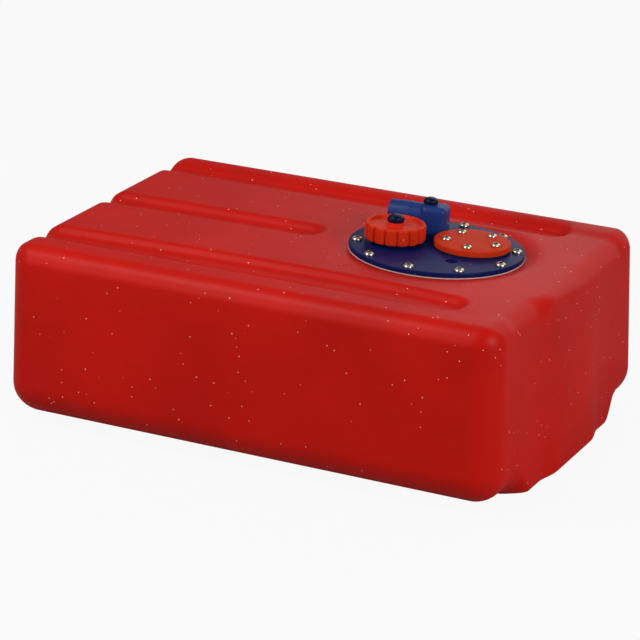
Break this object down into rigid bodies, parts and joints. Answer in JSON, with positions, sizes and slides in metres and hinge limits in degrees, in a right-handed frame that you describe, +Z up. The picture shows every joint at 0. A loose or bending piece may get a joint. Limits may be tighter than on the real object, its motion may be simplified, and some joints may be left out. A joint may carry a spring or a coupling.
{
  "type": "fuel tank",
  "caption": "Moulded under-seat fuel tank with grooved top and a screwed flange that carries a vented filler cap, a blanked gauge port and a swivelling hose outlet.",
  "frame": {"origin": "on the floor, at the middle of the belly that the tank stands on", "axes": "+X along the tank's length towards the end with the flange, -Y its front, +Z up"},
  "size_m": [0.5614, 0.3794, 0.2342],
  "materials": {
    "tank": "satin moulded red",
    "flange": "satin moulded blue",
    "fitting": "satin moulded blue",
    "cap": "satin moulded orange-red",
    "cover": "satin moulded orange-red",
    "knob": "dark blue",
    "gasket": "pale flat sheet",
    "rubber": "black",
    "screw": "stainless",
    "insert": "plain",
    "tube": "black extruded",
    "strainer": "moulded blue"
  },
  "bodies": {
    "tank": {"tank_shell": "tank", "seat_insert_1": "insert", "seat_insert_2": "insert", "seat_insert_3": "insert", "seat_insert_4": "insert", "seat_insert_5": "insert", "seat_insert_6": "insert", "seat_insert_7": "insert", "seat_insert_8": "insert", "seat_insert_9": "insert", "seat_insert_10": "insert", "flange_gasket": "gasket", "flange_plate": "flange", "flange_screw_1": "screw", "flange_screw_2": "screw", "flange_screw_3": "screw", "flange_screw_4": "screw", "flange_screw_5": "screw", "flange_screw_6": "screw", "flange_screw_7": "screw", "flange_screw_8": "screw", "flange_screw_9": "screw", "flange_screw_10": "screw", "gauge_gasket": "rubber", "gauge_cover": "cover", "gauge_insert_1": "insert", "gauge_insert_2": "insert", "gauge_insert_3": "insert", "gauge_insert_4": "insert", "gauge_insert_5": "insert", "gauge_screw_1": "screw", "gauge_screw_2": "screw", "gauge_screw_3": "screw", "gauge_screw_4": "screw", "gauge_screw_5": "screw", "elbow_o_ring": "rubber"},
    "cap_washer": {"cap_seal": "rubber"},
    "cap": {"filler_cap": "cap"},
    "vent_washer": {"vent_seal": "rubber"},
    "vent": {"vent_knob": "knob"},
    "elbow": {"outlet_elbow": "fitting", "elbow_locknut": "fitting", "pickup_tube": "tube", "pickup_strainer": "strainer"},
    "bleed_washer": {"bleed_seal": "rubber"},
    "bleed": {"bleed_knob": "knob"}
  },
  "joints": [
    {"name": "cap_lift", "type": "slide", "parent": "tank", "child": "cap_washer", "axis": [0.0311, 0.043, 0.9986], "range_m": [0, 0.0113]},
    {"name": "cap_turn", "type": "hinge", "parent": "cap_washer", "child": "cap", "pos_m": [0.07723, 0.00064, 0.19419], "axis": [0.0311, 0.043, 0.9986], "range_deg": [0, 900]},
    {"name": "vent_lift", "type": "slide", "parent": "cap", "child": "vent_washer", "axis": [0.0311, 0.043, 0.9986], "range_m": [0, 0.0015]},
    {"name": "vent_turn", "type": "hinge", "parent": "vent_washer", "child": "vent", "pos_m": [0.07723, 0.00064, 0.19419], "axis": [0.0311, 0.043, 0.9986], "range_deg": [0, 540]},
    {"name": "elbow_swivel", "type": "hinge", "parent": "tank", "child": "elbow", "pos_m": [0.09593, 0.05677, 0.1912], "axis": [0.0311, 0.043, 0.9986], "range_deg": [-140, 6]},
    {"name": "bleed_lift", "type": "slide", "parent": "elbow", "child": "bleed_washer", "axis": [0.0311, 0.043, 0.9986], "range_m": [0, 0.0015]},
    {"name": "bleed_turn", "type": "hinge", "parent": "bleed_washer", "child": "bleed", "pos_m": [0.09163, 0.05743, 0.22735], "axis": [0.0311, 0.043, 0.9986], "range_deg": [0, 540]}
  ],
  "couplings": [
    {"joint": "cap_lift", "follows": "cap_turn", "m_per_rad": 0.0007162},
    {"joint": "vent_turn", "follows": "vent_lift", "rad_per_m": 6283.2},
    {"joint": "bleed_turn", "follows": "bleed_lift", "rad_per_m": 6283.2}
  ]
}
